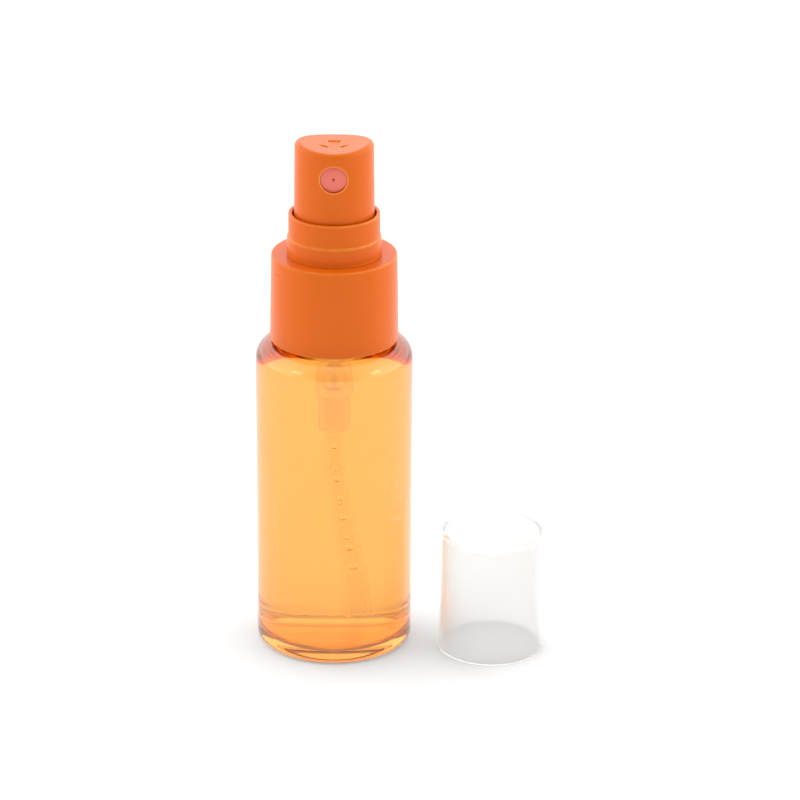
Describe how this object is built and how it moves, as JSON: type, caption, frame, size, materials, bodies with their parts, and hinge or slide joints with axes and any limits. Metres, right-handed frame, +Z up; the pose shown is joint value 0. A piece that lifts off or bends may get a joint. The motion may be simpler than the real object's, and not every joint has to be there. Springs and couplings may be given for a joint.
{
  "type": "lens cleaning spray",
  "caption": "Slim see-through orange bottle of lens cleaner with a fine mist pump and screw collar, its clear overcap standing beside it.",
  "frame": {"origin": "middle of the bottle's foot, on the surface that it stands on", "axes": "+Z up along the bottle, -Y the way the nozzle sprays, +X towards the overcap"},
  "size_m": [0.0563, 0.03, 0.1016],
  "materials": {
    "bottle_plastic": "clear tinted gloss",
    "liquid": "clear liquid",
    "orange_plastic": "satin",
    "nozzle_plastic": "satin",
    "natural_plastic": "natural, slightly milky",
    "piston_plastic": "soft, waxy",
    "tube_plastic": "natural, see-through",
    "clear_plastic": "clear, faintly milky",
    "foam": "foamed",
    "seal_rubber": "matte",
    "spring_steel": "drawn wire",
    "ball_steel": "polished"
  },
  "bodies": {
    "bottle": {"bottle": "bottle_plastic", "cleaning_liquid": "liquid"},
    "pump_unit": {"pump_housing": "natural_plastic", "pump_sleeve": "orange_plastic", "neck_gasket": "foam", "stem_seal": "seal_rubber", "dip_tube": "tube_plastic", "return_spring": "spring_steel"},
    "screw_collar": {"screw_collar": "orange_plastic"},
    "piston_rod": {"piston_rod": "natural_plastic"},
    "piston": {"piston": "piston_plastic"},
    "actuator": {"actuator": "orange_plastic", "nozzle_insert": "nozzle_plastic", "stem": "orange_plastic"},
    "check_ball": {"check_ball": "ball_steel"},
    "overcap": {"overcap": "clear_plastic"}
  },
  "joints": [
    {"name": "pump_lift", "type": "slide", "parent": "bottle", "child": "pump_unit", "axis": [0, 0, 1], "range_m": [0, 0.00476], "deforming": ["cleaning_liquid"]},
    {"name": "collar_unscrew", "type": "hinge", "parent": "pump_unit", "child": "screw_collar", "pos_m": [0, 0, 0.0714], "axis": [0, 0, 1], "range_deg": [0, 540]},
    {"name": "actuator_press", "type": "slide", "parent": "pump_unit", "child": "piston_rod", "axis": [0, 0, -1], "range_m": [0, 0.0055], "stiffness_N_per_m": 1100, "springref_m": -0.0036, "deforming": ["return_spring"]},
    {"name": "piston_stroke", "type": "slide", "parent": "pump_unit", "child": "piston", "axis": [0, 0, -1], "range_m": [0, 0.005]},
    {"name": "actuator_swivel", "type": "hinge", "parent": "piston_rod", "child": "actuator", "pos_m": [0, 0, 0.0874], "axis": [0, 0, 1], "continuous": true},
    {"name": "check_ball_lift", "type": "slide", "parent": "pump_unit", "child": "check_ball", "axis": [0, 0, 1], "range_m": [0, 0.0015]},
    {"name": "overcap_lift", "type": "slide", "parent": "bottle", "child": "overcap", "axis": [0, 0, 1], "range_m": [0, 0.105]}
  ],
  "couplings": [
    {"joint": "pump_lift", "follows": "collar_unscrew", "m_per_rad": 0.00050532},
    {"joint": "piston_stroke", "follows": "actuator_press", "ratio": 0.90909}
  ]
}
